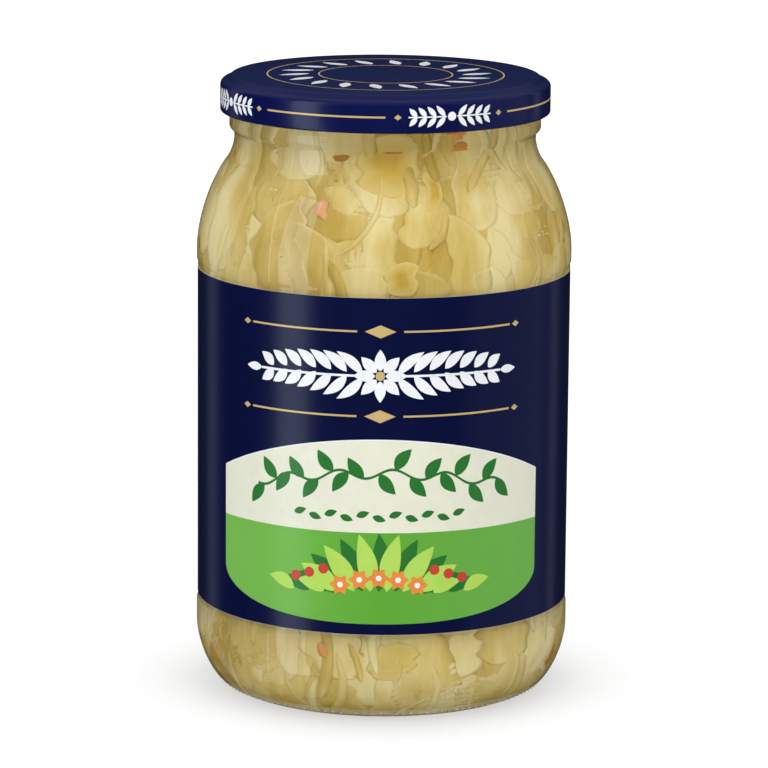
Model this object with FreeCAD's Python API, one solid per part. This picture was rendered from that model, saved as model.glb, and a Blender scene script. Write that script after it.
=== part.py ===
"""A full glass jar of sauerkraut with a steel twist-off lid and a wrap-around paper label.

Frame: millimetres, +Z up along the jar's axis, origin at the middle of the base, where
the jar stands. The label's front faces -Y and its lap joint is at the back, on +Y.
"""
import FreeCAD
import Part
import math
import os

# ---- driving dimensions --------------------------------------------------------------
# Glass body
PANEL_R = 49.1            # outer radius of the recessed panel that the label lies in
BUMPER_STAND = 0.3        # how far the two bumper bands stand out past the panel
WALL_T = 2.9              # body wall
LABEL_H = 88.2            # height of the label
LABEL_MARGIN = 1.2        # bare panel above and below the label
PANEL_Z = 23.3            # bottom of the recessed panel
STEP_H = 0.9              # height over which a bumper band blends into the panel

# Base
HEEL_RUN = 7.3            # how far the heel's flank comes in, from bumper band to ground
HEEL_Z = 9.3              # height at which that flank would meet the lower bumper band
HEEL_FILLET = 22.0        # round of the heel into the bumper band
FOOT_FILLET = 8.2         # round of the heel into the standing ring
FOOT_W = 7.1              # from the flank's foot in to the push-up
PUNT_H = 2.6              # push-up at the middle of the base
PUNT_FLAT_R = 12.0        # flat middle of the push-up
PUNT_FILLET = 60.0        # gentle blend round that flat middle
BASE_T = 3.6              # glass over the push-up
FLOOR_Z = 3.5             # lowest level of the cavity, at the heel
FLOOR_FILLET = 8.0        # round of the cavity's floor into its heel

# Shoulder and neck
SHOULDER_DROP = 16.5      # from the panel's top to the corner of body and shoulder
SHOULDER_H = 13.3         # from that corner to the corner of shoulder and neck
SHOULDER_FILLET = 39.0    # round of the body into the shoulder
NECK_R = 39.6             # outer radius of the neck
NECK_FILLET = 10.0        # round of the shoulder into the neck
NECK_H = 4.6              # straight neck, from its corner up to the transfer bead

# Finish: the bead, the ring that the lid screws onto, and the rim
BEAD_STAND = 1.3          # how far the transfer bead stands out past the neck
BEAD_H = 5.0              # height of the bead
FINISH_STAND = 0.4        # how far the ring above the bead stands out past the neck
FINISH_H = 9.0            # from the top of the bead to the rim
RIM_FILLET = 1.2          # round of the rim's edges
THREAD_COUNT = 6          # short thread ridges, one for each lug of the lid
THREAD_STAND = 1.3        # how far a ridge stands out past the finish
THREAD_H = 1.6            # height of a ridge
THREAD_DROP = 3.2         # from the rim down to the top of a ridge
THREAD_ARC = 42.0         # degrees that a ridge spans

# Lid
PLATE_T = 0.3             # steel plate
LID_CLEARANCE = 1.7       # from the thread ridges out to the inside of the skirt
LINER_T = 0.7             # sealing compound bonded inside the lid, pressed on the rim
LEDGE_H = 1.3             # from the outer ledge up to the raised middle panel
LEDGE_W = 1.7             # width of the outer ledge
SKIRT_H = 8.3             # from the hem up to the ledge
SKIRT_FILLET = 1.4        # round of the skirt into the ledge
PANEL_FILLET = 0.8        # round of the raised panel's edge
HEM_T = 1.3               # thickness of the rolled hem
HEM_H = 1.2               # height of the rolled hem
LUG_REACH = 1.5           # how far a lug reaches in past the hem
LUG_GAP = 0.4             # from the top of a lug up to the ridge that holds it
LUG_ARC = 11.0            # degrees that a lug spans

# Label
PAPER_T = 0.12            # label paper
LAP_W = 9.0               # overlap of the two ends at the back

# Contents
HEADSPACE = 6.0           # from the rim down to the contents, beside the glass
MOUND_H = 1.5             # how far the middle of the contents stands above that

# ---- derived levels and radii ---------------------------------------------------------
BUMPER_R = PANEL_R + BUMPER_STAND
BUMPER_WALL = WALL_T + BUMPER_STAND
BEARING_R = BUMPER_R - HEEL_RUN
PUNT_R = BEARING_R - FOOT_W
LABEL_Z = PANEL_Z + LABEL_MARGIN
PANEL_TOP = LABEL_Z + LABEL_H + LABEL_MARGIN
SHOULDER_Z = PANEL_TOP + SHOULDER_DROP
NECK_Z = SHOULDER_Z + SHOULDER_H
BEAD_Z = NECK_Z + NECK_H
BEAD_TOP = BEAD_Z + BEAD_H
BEAD_R = NECK_R + BEAD_STAND
RIM_Z = BEAD_TOP + FINISH_H
FINISH_R = NECK_R + FINISH_STAND
BORE_R = NECK_R - WALL_T
CAVITY_R = PANEL_R - WALL_T
THREAD_R = FINISH_R + THREAD_STAND
THREAD_TOP = RIM_Z - THREAD_DROP
THREAD_Z = THREAD_TOP - THREAD_H
SKIRT_IN_R = THREAD_R + LID_CLEARANCE
SKIRT_R = SKIRT_IN_R + PLATE_T
LID_TOP = RIM_Z + LINER_T + PLATE_T
LEDGE_Z = LID_TOP - LEDGE_H
HEM_Z = LEDGE_Z - SKIRT_H
LUG_TOP = THREAD_Z - LUG_GAP

AXIS = FreeCAD.Vector(0, 0, 1)
ORIGIN = FreeCAD.Vector(0, 0, 0)


# ---- helpers ---------------------------------------------------------------------------
def corner_turn(before, corner, after):
    """Unit directions into and out of a corner, and tan of half the turn there."""
    into = (corner - before).normalize()
    out = (after - corner).normalize()
    return into, out, math.tan(into.getAngle(out) / 2)


def outline(corners):
    """An open path of straight runs in the XZ plane, with round corners.

    Each corner is (radius, height) or (radius, height, fillet). Where two fillets need
    more than the run between them, both are limited to share it.
    """
    points = [FreeCAD.Vector(c[0], 0, c[1]) for c in corners]
    fillets = [c[2] if len(c) > 2 else 0.0 for c in corners]
    trims = [0.0] * len(points)
    for i in range(1, len(points) - 1):
        if fillets[i]:
            trims[i] = fillets[i] * corner_turn(*points[i - 1:i + 2])[2]
    shares = [1.0] * len(points)
    for i in range(len(points) - 1):
        run = (points[i + 1] - points[i]).Length
        needed = trims[i] + trims[i + 1]
        if needed > 0.999 * run:
            shares[i] = min(shares[i], 0.999 * run / needed)
            shares[i + 1] = min(shares[i + 1], 0.999 * run / needed)

    edges = []
    start = points[0]
    for i in range(1, len(points) - 1):
        trim = trims[i] * shares[i]
        if trim < 1e-6:
            edges.append(Part.LineSegment(start, points[i]).toShape())
            start = points[i]
            continue
        into, out, half_tan = corner_turn(*points[i - 1:i + 2])
        arc_start = points[i] - into * trim
        arc_end = points[i] + out * trim
        bisector = (out - into).normalize()
        radius = trim / half_tan
        to_centre = math.hypot(trim, radius)
        middle = points[i] + bisector * (to_centre - radius)
        edges.append(Part.LineSegment(start, arc_start).toShape())
        edges.append(Part.Arc(arc_start, middle, arc_end).toShape())
        start = arc_end
    edges.append(Part.LineSegment(start, points[-1]).toShape())
    return edges


def turned(corners, degrees=360.0, start=0.0):
    """The solid swept by a closed outline turned about the jar's axis."""
    edges = outline(corners + [corners[0]])
    solid = Part.Face(Part.Wire(edges)).revolve(ORIGIN, AXIS, degrees)
    solid.rotate(ORIGIN, AXIS, start)
    return solid


def ring(r_in, r_out, z_low, z_high, degrees=360.0, middle=0.0):
    """A plain ring, or an arc of one centred on the direction given in degrees."""
    section = [(r_in, z_low), (r_out, z_low), (r_out, z_high), (r_in, z_high)]
    return turned(section, degrees, middle - degrees / 2)


def offset_drop(run, rise, distance):
    """How far a corner between a vertical and a slope moves along the vertical
    when both are offset by distance."""
    return distance * math.tan(math.atan2(abs(run), rise) / 2)


# ---- glass ------------------------------------------------------------------------------
def glass_outside():
    """The jar as if it were solid glass, up to the rim."""
    return turned([
        (0, PUNT_H),
        (PUNT_FLAT_R, PUNT_H, PUNT_FILLET),
        (PUNT_R, 0, PUNT_H / 2),
        (BEARING_R, 0, FOOT_FILLET),
        (BUMPER_R, HEEL_Z, HEEL_FILLET),
        (BUMPER_R, PANEL_Z - STEP_H, STEP_H),
        (PANEL_R, PANEL_Z, STEP_H),
        (PANEL_R, PANEL_TOP, STEP_H),
        (BUMPER_R, PANEL_TOP + STEP_H, STEP_H),
        (BUMPER_R, SHOULDER_Z, SHOULDER_FILLET),
        (NECK_R, NECK_Z, NECK_FILLET),
        (NECK_R, BEAD_Z, BEAD_STAND / 2),
        (BEAD_R, BEAD_Z + BEAD_STAND, BEAD_STAND),
        (BEAD_R, BEAD_TOP - BEAD_STAND, BEAD_STAND),
        (FINISH_R, BEAD_TOP, BEAD_STAND / 2),
        (FINISH_R, RIM_Z, RIM_FILLET),
        (0, RIM_Z),
    ])


def cavity():
    """The inside of the jar, carried a little past the rim so that it opens there."""
    heel_z = HEEL_Z + offset_drop(HEEL_RUN, HEEL_Z, BUMPER_WALL)
    floor_r = CAVITY_R - (heel_z - FLOOR_Z) * HEEL_RUN / HEEL_Z
    shoulder_drop = offset_drop(BUMPER_R - NECK_R, SHOULDER_H, BUMPER_WALL)
    neck_drop = offset_drop(BUMPER_R - NECK_R, SHOULDER_H, WALL_T)
    return turned([
        (0, PUNT_H + BASE_T),
        (PUNT_FLAT_R, PUNT_H + BASE_T, PUNT_FILLET),
        (floor_r, FLOOR_Z, FLOOR_FILLET),
        (CAVITY_R, heel_z, HEEL_FILLET - BUMPER_WALL),
        (CAVITY_R, SHOULDER_Z - shoulder_drop, SHOULDER_FILLET - BUMPER_WALL),
        (BORE_R, NECK_Z - neck_drop, NECK_FILLET + WALL_T),
        (BORE_R, RIM_Z - RIM_FILLET),
        (BORE_R, RIM_Z + RIM_FILLET),
        (0, RIM_Z + RIM_FILLET),
    ])


def rim_rounding():
    """What is cut off the rim's inner edge to round it."""
    centre_z = RIM_Z - RIM_FILLET
    block = ring(BORE_R - RIM_FILLET, BORE_R + RIM_FILLET, centre_z, RIM_Z + RIM_FILLET)
    circle = Part.makeTorus(BORE_R + RIM_FILLET, RIM_FILLET, FreeCAD.Vector(0, 0, centre_z))
    return block.cut(circle)


def thread_ridge(number):
    """One short ridge with a sloped underside, which a lug of the lid slides under."""
    section = [
        (FINISH_R - WALL_T / 2, THREAD_Z - THREAD_STAND / 2),
        (THREAD_R, THREAD_Z),
        (THREAD_R, THREAD_TOP),
        (FINISH_R - WALL_T / 2, THREAD_TOP + THREAD_STAND / 2),
    ]
    middle = (number + 0.5) * 360.0 / THREAD_COUNT
    return turned(section, THREAD_ARC, middle - THREAD_ARC / 2)


def jar_glass():
    glass = glass_outside().cut(cavity()).cut(rim_rounding())
    return glass.fuse([thread_ridge(i) for i in range(THREAD_COUNT)]).removeSplitter()


# ---- lid ----------------------------------------------------------------------------------
def lid():
    """A steel cap: raised panel, ledge, skirt and rolled hem, with its seal and lugs."""
    ledge_in_r = SKIRT_R - LEDGE_W
    panel_r = ledge_in_r - LEDGE_H
    shift = offset_drop(LEDGE_H, LEDGE_H, PLATE_T)
    hem_in_r = SKIRT_R - HEM_T
    plate = turned([
        (0, LID_TOP),
        (panel_r, LID_TOP, PANEL_FILLET),
        (ledge_in_r, LEDGE_Z, PANEL_FILLET),
        (SKIRT_R, LEDGE_Z, SKIRT_FILLET),
        (SKIRT_R, HEM_Z, HEM_T / 2),
        (hem_in_r, HEM_Z, HEM_T / 2),
        (hem_in_r, HEM_Z + HEM_H, HEM_T / 3),
        (SKIRT_IN_R, HEM_Z + HEM_H),
        (SKIRT_IN_R, LEDGE_Z - PLATE_T, SKIRT_FILLET - PLATE_T),
        (ledge_in_r - shift, LEDGE_Z - PLATE_T, PANEL_FILLET),
        (panel_r - shift, LID_TOP - PLATE_T, PANEL_FILLET - PLATE_T),
        (0, LID_TOP - PLATE_T),
    ])
    liner = ring(BORE_R, FINISH_R, RIM_Z, LID_TOP - PLATE_T / 2)
    lugs = []
    for number in range(THREAD_COUNT):
        middle = (number + 0.5) * 360.0 / THREAD_COUNT
        lugs.append(ring(hem_in_r - LUG_REACH, SKIRT_R - PLATE_T / 2, HEM_Z + HEM_T / 2,
                         LUG_TOP, LUG_ARC, middle))
    return plate.fuse([liner] + lugs).removeSplitter()


# ---- label ----------------------------------------------------------------------------------
def label():
    """Paper wrapped once round the panel, with its two ends lapped at the back."""
    paper_r = PANEL_R + PAPER_T
    wrap = ring(PANEL_R, paper_r, LABEL_Z, LABEL_Z + LABEL_H)
    lap_arc = math.degrees(LAP_W / PANEL_R)
    lap = ring(PANEL_R + PAPER_T / 2, paper_r + PAPER_T, LABEL_Z, LABEL_Z + LABEL_H,
               lap_arc, 90.0)
    return wrap.fuse(lap).removeSplitter()


# ---- contents -------------------------------------------------------------------------------
def sauerkraut():
    """Packed shreds in brine: the cavity filled to just below the rim, a little mounded."""
    level = RIM_Z - HEADSPACE
    below = turned([
        (0, -1),
        (PANEL_R, -1),
        (PANEL_R, level),
        (BORE_R, level),
        (BORE_R / 2, level + MOUND_H, BORE_R),
        (0, level + MOUND_H),
    ])
    return cavity().common(below)


def main():
    os.makedirs("parts", exist_ok=True)
    for name, make in (("jar_glass", jar_glass), ("lid", lid), ("label", label),
                       ("sauerkraut", sauerkraut)):
        shape = make()
        solid = shape.Solids[0]
        box = solid.BoundBox
        print(f"{name}: {len(shape.Solids)} solid, valid {solid.isValid()}, "
              f"{solid.Volume / 1000:.1f} cm3, z {box.ZMin:.2f} to {box.ZMax:.2f}, "
              f"width {box.XLength:.2f}")
        solid.exportStep(f"parts/{name}.step")


main()
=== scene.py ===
"""Looks of the sauerkraut jar: clear glass, packed cabbage, lacquered lid and printed label."""
import bisect
import math
import random

import bmesh
import bpy
from mathutils import Matrix, Vector, noise


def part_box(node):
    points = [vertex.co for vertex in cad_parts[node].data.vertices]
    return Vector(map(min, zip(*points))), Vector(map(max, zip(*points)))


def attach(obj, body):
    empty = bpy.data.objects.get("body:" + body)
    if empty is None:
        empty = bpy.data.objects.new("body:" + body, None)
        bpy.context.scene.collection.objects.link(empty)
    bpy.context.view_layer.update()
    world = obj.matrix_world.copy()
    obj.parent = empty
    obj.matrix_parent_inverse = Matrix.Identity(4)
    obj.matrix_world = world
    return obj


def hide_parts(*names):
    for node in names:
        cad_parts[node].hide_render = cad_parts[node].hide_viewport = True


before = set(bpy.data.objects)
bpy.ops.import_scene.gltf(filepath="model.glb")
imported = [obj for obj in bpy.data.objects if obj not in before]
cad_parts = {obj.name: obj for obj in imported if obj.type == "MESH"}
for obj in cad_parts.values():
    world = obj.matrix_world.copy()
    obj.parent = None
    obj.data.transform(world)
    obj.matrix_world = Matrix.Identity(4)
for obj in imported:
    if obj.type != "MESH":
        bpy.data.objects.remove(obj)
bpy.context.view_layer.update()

MM = 0.001
INK_T = 0.012 * MM                 # thickness of a layer of ink

# ---- sizes from the frame ------------------------------------------------------------------------
GLASS_HIGH = Vector(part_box("jar_glass")[1])
LID_LOW, LID_HIGH = (Vector(c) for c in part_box("lid"))
LABEL_LOW, LABEL_HIGH = (Vector(c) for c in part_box("label"))
FILL_HIGH = Vector(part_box("sauerkraut")[1])

BUMPER_R = GLASS_HIGH.x
RIM_Z = GLASS_HIGH.z
LID_R = LID_HIGH.x
LID_TOP = LID_HIGH.z
LID_FACE = LID_TOP - 2 * INK_T     # the lacquer, under the lid's print
HEM_Z = LID_LOW.z
LABEL_Z = LABEL_LOW.z
LABEL_TOP = LABEL_HIGH.z
CAVITY_R = FILL_HIGH.x
FILL_Z = FILL_HIGH.z

# ---- sizes of the glass, as the construction has them --------------------------------------------
BUMPER_STAND = 0.3 * MM
PANEL_R = BUMPER_R - BUMPER_STAND
LABEL_MARGIN = 1.2 * MM
STEP_H = 0.9 * MM
WALL_T = PANEL_R - CAVITY_R
HEEL_Z = 9.3 * MM
HEEL_RUN = 7.3 * MM
HEEL_FILLET = 22.0 * MM
FOOT_FILLET = 8.2 * MM
FOOT_W = 7.1 * MM
PUNT_H = 2.6 * MM
PUNT_FLAT_R = 12.0 * MM
PUNT_FILLET = 60.0 * MM
BASE_T = 3.6 * MM
FLOOR_Z = 3.5 * MM
FLOOR_FILLET = 8.0 * MM
SHOULDER_DROP = 16.5 * MM
SHOULDER_H = 13.3 * MM
SHOULDER_FILLET = 39.0 * MM
NECK_R = 39.6 * MM
NECK_FILLET = 10.0 * MM
NECK_H = 4.6 * MM
BEAD_STAND = 1.3 * MM
BEAD_H = 5.0 * MM
FINISH_R = 40.0 * MM
RIM_FILLET = 1.2 * MM

PANEL_Z = LABEL_Z - LABEL_MARGIN
PANEL_TOP = LABEL_TOP + LABEL_MARGIN
SHOULDER_Z = PANEL_TOP + SHOULDER_DROP
NECK_Z = SHOULDER_Z + SHOULDER_H
BEAD_Z = NECK_Z + NECK_H
BEAD_TOP = BEAD_Z + BEAD_H
BORE_R = NECK_R - WALL_T

# Browner, brine-soaked pieces: height in mm, degrees from the front, length and width in mm.
AMBER_PIECES = [(144, 1, 17, 15), (117, 6, 9, 8), (18, 5, 8, 11), (138, 17, 11, 4),
                (15, 2, 6, 8), (126, -150, 10, 8), (20, 120, 9, 7)]

# Bits of carrot: height in mm, degrees from the front, lean in degrees, length and width in mm,
# and shade from 0, brown, to 1, salmon.
CARROT_BITS = [
    (133.2, -21.2, -14, 5.6, 2.9, 1.0),
    (146.5, -17.0, 84, 4.6, 1.7, 0.0),
    (152.0, 29.1, 85, 6.0, 1.5, 0.6),
    (149.4, 29.8, 85, 5.0, 1.5, 0.5),
    (148.8, 3.0, 88, 5.5, 1.0, 0.1),
    (19.5, -18.6, -20, 4.6, 2.6, 0.8),
    (12.0, -65.6, -35, 7.5, 1.6, 0.6),
    (11.5, 70.2, 35, 6.5, 2.2, 0.2),
]

# How far into the glass's inner face each layer of food lies, least and most.
LEAF_LEVELS = {"deep": (0.05 * MM, 0.09 * MM), "middle": (0.12 * MM, 0.16 * MM),
               "near": (0.19 * MM, 0.23 * MM)}
SOAKED_LEVEL = 0.29 * MM
SHRED_LEVELS = (0.34 * MM, 0.38 * MM)
CARROT_LEVELS = (0.40 * MM, 0.42 * MM)
BUBBLE_LEVEL = 0.45 * MM
LEAF_COUNT = 230                   # leaves in each layer
SHRED_COUNT = 190
BASE_GLASS_Z = 3.0 * MM            # the thick, paler glass of the base ends here
DASH_Z = 1.7 * MM                  # height of the dashes round the heel

SEAM_ANGLE = math.radians(-37.0)   # mould seam, measured from the front towards +X
TURN_STEPS = 240                   # facets round the jar


# ---- mesh helpers --------------------------------------------------------------------------------
def to_object(name, bm, materials, smooth_angle=math.radians(35)):
    """Makes a finished piece from a bmesh: smooth faces, sharp edges kept."""
    mesh = bpy.data.meshes.new(name)
    bm.to_mesh(mesh)
    bm.free()
    mesh.shade_smooth()
    mesh.set_sharp_from_angle(angle=smooth_angle)
    for material in materials:
        mesh.materials.append(material)
    obj = bpy.data.objects.new(name, mesh)
    bpy.context.scene.collection.objects.link(obj)
    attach(obj, "root")
    return obj


def rounded_path(corners):
    """A bmesh holding one open path of straight runs with rounded corners.

    Each corner is (radius, height) or (radius, height, fillet).
    """
    bm = bmesh.new()
    verts = [bm.verts.new((c[0], 0.0, c[1])) for c in corners]
    for a, b in zip(verts, verts[1:]):
        bm.edges.new((a, b))
    points = [v.co.copy() for v in verts]
    trims = [0.0] * len(points)
    for i in range(1, len(points) - 1):
        if len(corners[i]) > 2:
            turn = (points[i] - points[i - 1]).angle(points[i + 1] - points[i])
            trims[i] = corners[i][2] * math.tan(turn / 2)
    shares = [1.0] * len(points)
    for i in range(len(points) - 1):
        run = (points[i + 1] - points[i]).length
        needed = trims[i] + trims[i + 1]
        if needed > 0.99 * run:
            shares[i] = min(shares[i], 0.99 * run / needed)
            shares[i + 1] = min(shares[i + 1], 0.99 * run / needed)
    for i, vert in enumerate(verts):
        trim = trims[i] * shares[i]
        if trim > 0.01 * MM:
            segments = max(3, min(16, int(trim / (0.5 * MM)) + 3))
            bmesh.ops.bevel(bm, geom=[vert], offset=trim, offset_type="OFFSET",
                            affect="VERTICES", segments=segments, profile=0.5, material=-1,
                            clamp_overlap=False)
    return bm


def path_points(bm):
    """The path's points in order, from its first end."""
    bm.verts.ensure_lookup_table()
    ends = [v for v in bm.verts if len(v.link_edges) == 1]
    vert = min(ends, key=lambda v: (v.co.z, v.co.x))
    points = [vert.co.copy()]
    edge = None
    while True:
        onward = [e for e in vert.link_edges if e is not edge]
        if not onward:
            return points
        edge = onward[0]
        vert = edge.other_vert(vert)
        points.append(vert.co.copy())


def spin_round(bm, steps=TURN_STEPS):
    """Turns the path once about the jar's axis into a closed skin."""
    bmesh.ops.spin(bm, geom=bm.verts[:] + bm.edges[:], cent=(0, 0, 0), axis=(0, 0, 1),
                   dvec=(0, 0, 0), angle=2 * math.pi, steps=steps, use_merge=True,
                   use_duplicate=False)
    bmesh.ops.remove_doubles(bm, verts=bm.verts[:], dist=0.002 * MM)
    bmesh.ops.recalc_face_normals(bm, faces=bm.faces[:])


# ---- material helpers ----------------------------------------------------------------------------
def new_material(name):
    """A material that has only its Principled shader and output."""
    material = bpy.data.materials.new(name)
    material.use_nodes = True
    tree = material.node_tree
    return material, tree, tree.nodes["Principled BSDF"]


def add(tree, kind, **inputs):
    """Adds a node and sets its sockets by name."""
    node = tree.nodes.new(kind)
    for key, value in inputs.items():
        node.inputs[key.replace("_", " ")].default_value = value
    return node


def object_noise(tree, scale, detail=2.0, roughness=0.5, stretch=(1, 1, 1)):
    """Noise on Object coordinates, in patches about 1/scale metres across."""
    coords = tree.nodes.new("ShaderNodeTexCoord")
    mapping = tree.nodes.new("ShaderNodeMapping")
    mapping.inputs["Scale"].default_value = stretch
    tree.links.new(coords.outputs["Object"], mapping.inputs["Vector"])
    texture = add(tree, "ShaderNodeTexNoise", Scale=scale, Detail=detail, Roughness=roughness)
    tree.links.new(mapping.outputs["Vector"], texture.inputs["Vector"])
    return texture.outputs["Fac"]


def ramp(tree, factor, stops):
    """A colour ramp; each stop is (place, (r, g, b))."""
    node = tree.nodes.new("ShaderNodeValToRGB")
    elements = node.color_ramp.elements
    while len(elements) < len(stops):
        elements.new(0.5)
    for element, (place, colour) in zip(elements, stops):
        element.position = place
        element.color = (*colour, 1.0)
    tree.links.new(factor, node.inputs["Fac"])
    return node.outputs["Color"]


def bump(tree, shader, height, strength, distance):
    """Adds a bump from a height to a shader."""
    node = add(tree, "ShaderNodeBump", Strength=strength, Distance=distance)
    tree.links.new(height, node.inputs["Height"])
    tree.links.new(node.outputs["Normal"], shader.inputs["Normal"])


def mix_colour(tree, factor, a, b, blend="MIX"):
    """Mixes two colours; factor, a and b are sockets or plain values."""
    node = tree.nodes.new("ShaderNodeMix")
    node.data_type = "RGBA"
    node.blend_type = blend
    for index, value in ((0, factor), (6, a), (7, b)):
        if isinstance(value, bpy.types.NodeSocket):
            tree.links.new(value, node.inputs[index])
        elif index:
            node.inputs[index].default_value = (*value, 1.0)
        else:
            node.inputs[index].default_value = value
    return node.outputs[2]


# ---- materials -----------------------------------------------------------------------------------
def glass_material(name="clear_glass", tone=(0.98, 0.985, 0.965), clearness=1.0):
    """Soda-lime glass with faint waves, which lets the lamps through to the food."""
    material, tree, shader = new_material(name)
    shader.inputs["Base Color"].default_value = (*tone, 1.0)
    shader.inputs["Roughness"].default_value = 0.03
    shader.inputs["IOR"].default_value = 1.5
    shader.inputs["Transmission Weight"].default_value = clearness
    bump(tree, shader, object_noise(tree, 55.0, 1.0, 0.4, (1, 1, 0.35)), 0.35, 0.0004)
    clear = add(tree, "ShaderNodeBsdfTransparent", Color=(0.95, 0.97, 0.94, 1.0))
    light_path = tree.nodes.new("ShaderNodeLightPath")
    mix = tree.nodes.new("ShaderNodeMixShader")
    tree.links.new(light_path.outputs["Is Shadow Ray"], mix.inputs["Fac"])
    tree.links.new(shader.outputs["BSDF"], mix.inputs[1])
    tree.links.new(clear.outputs["BSDF"], mix.inputs[2])
    tree.links.new(mix.outputs["Shader"], tree.nodes["Material Output"].inputs["Surface"])
    return material


def attribute(tree, name):
    """A number stored on the mesh's points."""
    node = tree.nodes.new("ShaderNodeAttribute")
    node.attribute_name = name
    return node.outputs["Fac"]


def maths(tree, operation, a, b):
    """One sum on two sockets or plain values."""
    node = tree.nodes.new("ShaderNodeMath")
    node.operation = operation
    for socket, value in zip(node.inputs, (a, b)):
        if isinstance(value, bpy.types.NodeSocket):
            tree.links.new(value, socket)
        else:
            socket.default_value = value
    return node.outputs[0]


def cabbage_material(name, deep, mid, pale, edge, fade_from=0.82, fade=0.5):
    """Wet fermented cabbage: soft clouds of straw yellow, each shred a little lighter or
    darker than the next, with pale cut edges."""
    material, tree, shader = new_material(name)
    cloud = object_noise(tree, 70.0, 2.0, 0.5, (1, 1, 0.5))
    fibre = object_noise(tree, 520.0, 3.0, 0.6, (1, 1, 0.2))
    own = maths(tree, "SUBTRACT", attribute(tree, "tint"), 0.5)
    shade = maths(tree, "ADD", maths(tree, "MULTIPLY", cloud, 0.78),
                  maths(tree, "MULTIPLY", fibre, 0.22))
    body = ramp(tree, maths(tree, "ADD", shade, own), [(0.30, deep), (0.47, mid), (0.66, pale)])
    rim = ramp(tree, attribute(tree, "across"), [(fade_from, (0, 0, 0)), (1.0, (1, 1, 1))])
    colour = mix_colour(tree, maths(tree, "MULTIPLY", rim, fade), body, edge)
    tree.links.new(colour, shader.inputs["Base Color"])
    shader.inputs["Roughness"].default_value = 0.5
    shader.inputs["Specular IOR Level"].default_value = 0.05
    shader.inputs["Subsurface Weight"].default_value = 0.12
    shader.inputs["Subsurface Radius"].default_value = (1.0, 0.85, 0.5)
    shader.inputs["Subsurface Scale"].default_value = 0.0004
    bump(tree, shader, fibre, 0.2, 0.0002)
    return material


def carrot_material():
    """Shredded carrot, from browned through orange to pale salmon."""
    material, tree, shader = new_material("carrot")
    grain = maths(tree, "SUBTRACT", object_noise(tree, 500.0, 3.0), 0.5)
    mottle = maths(tree, "MULTIPLY", grain, 0.5)
    shade = maths(tree, "ADD", attribute(tree, "tint"), mottle)
    colour = ramp(tree, shade, [(0.0, (0.40, 0.18, 0.05)), (0.5, (0.70, 0.27, 0.05)),
                                (1.0, (0.74, 0.36, 0.17))])
    tree.links.new(colour, shader.inputs["Base Color"])
    shader.inputs["Roughness"].default_value = 0.5
    shader.inputs["Specular IOR Level"].default_value = 0.05
    shader.inputs["Subsurface Weight"].default_value = 0.25
    shader.inputs["Subsurface Radius"].default_value = (1.0, 0.6, 0.3)
    shader.inputs["Subsurface Scale"].default_value = 0.0005
    bump(tree, shader, object_noise(tree, 700.0, 2.0), 0.2, 0.0002)
    return material


def ink_material(name, colour, roughness=0.3, metallic=0.0, mottle=0.03):
    """Printed and varnished paper: an even ink with a faint mottle and fibre relief."""
    material, tree, shader = new_material(name)
    low = tuple(c * (1 - mottle) for c in colour)
    high = tuple(min(1.0, c * (1 + mottle)) for c in colour)
    shade = ramp(tree, object_noise(tree, 260.0, 5.0, 0.6), [(0.3, low), (0.7, high)])
    tree.links.new(shade, shader.inputs["Base Color"])
    shader.inputs["Roughness"].default_value = roughness
    shader.inputs["Metallic"].default_value = metallic
    shader.inputs["Specular IOR Level"].default_value = 0.32
    bump(tree, shader, object_noise(tree, 1800.0, 3.0, 0.6), 0.12, 0.0001)
    return material


def green_material(name, stops, mottle=0.03):
    """Green ink whose tone runs across the label: deepest in the middle, lighter towards each side
    and lightest at the left; each stop is (metres from the middle, (r, g, b))."""
    material = ink_material(name, (1.0, 1.0, 1.0), mottle=mottle)
    tree = material.node_tree
    shader = tree.nodes["Principled BSDF"]
    coords = tree.nodes.new("ShaderNodeTexCoord")
    split = tree.nodes.new("ShaderNodeSeparateXYZ")
    tree.links.new(coords.outputs["Object"], split.inputs["Vector"])
    place = maths(tree, "ADD", maths(tree, "MULTIPLY", split.outputs["X"], 10.0), 0.5)
    tone = ramp(tree, place, [(0.5 + 10.0 * x, colour) for x, colour in stops])
    mottled = shader.inputs["Base Color"].links[0].from_socket
    tree.links.new(mix_colour(tree, 1.0, mottled, tone, "MULTIPLY"), shader.inputs["Base Color"])
    return material


def lacquer_material(name, colour):
    """Stoved lacquer on tinplate, with faint orange peel."""
    material, tree, shader = new_material(name)
    low = tuple(c * 0.9 for c in colour)
    shade = ramp(tree, object_noise(tree, 90.0, 4.0), [(0.35, low), (0.65, colour)])
    tree.links.new(shade, shader.inputs["Base Color"])
    shader.inputs["Roughness"].default_value = 0.26
    shader.inputs["Specular IOR Level"].default_value = 0.35
    shader.inputs["Coat Weight"].default_value = 0.15
    shader.inputs["Coat Roughness"].default_value = 0.12
    bump(tree, shader, object_noise(tree, 900.0, 2.0), 0.08, 0.0001)
    return material


# ---- glass jar -----------------------------------------------------------------------------------
def offset_drop(run, rise, distance):
    """How far a corner between a vertical and a slope moves along the vertical
    when both are offset by distance."""
    return distance * math.tan(math.atan2(abs(run), rise) / 2)


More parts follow.
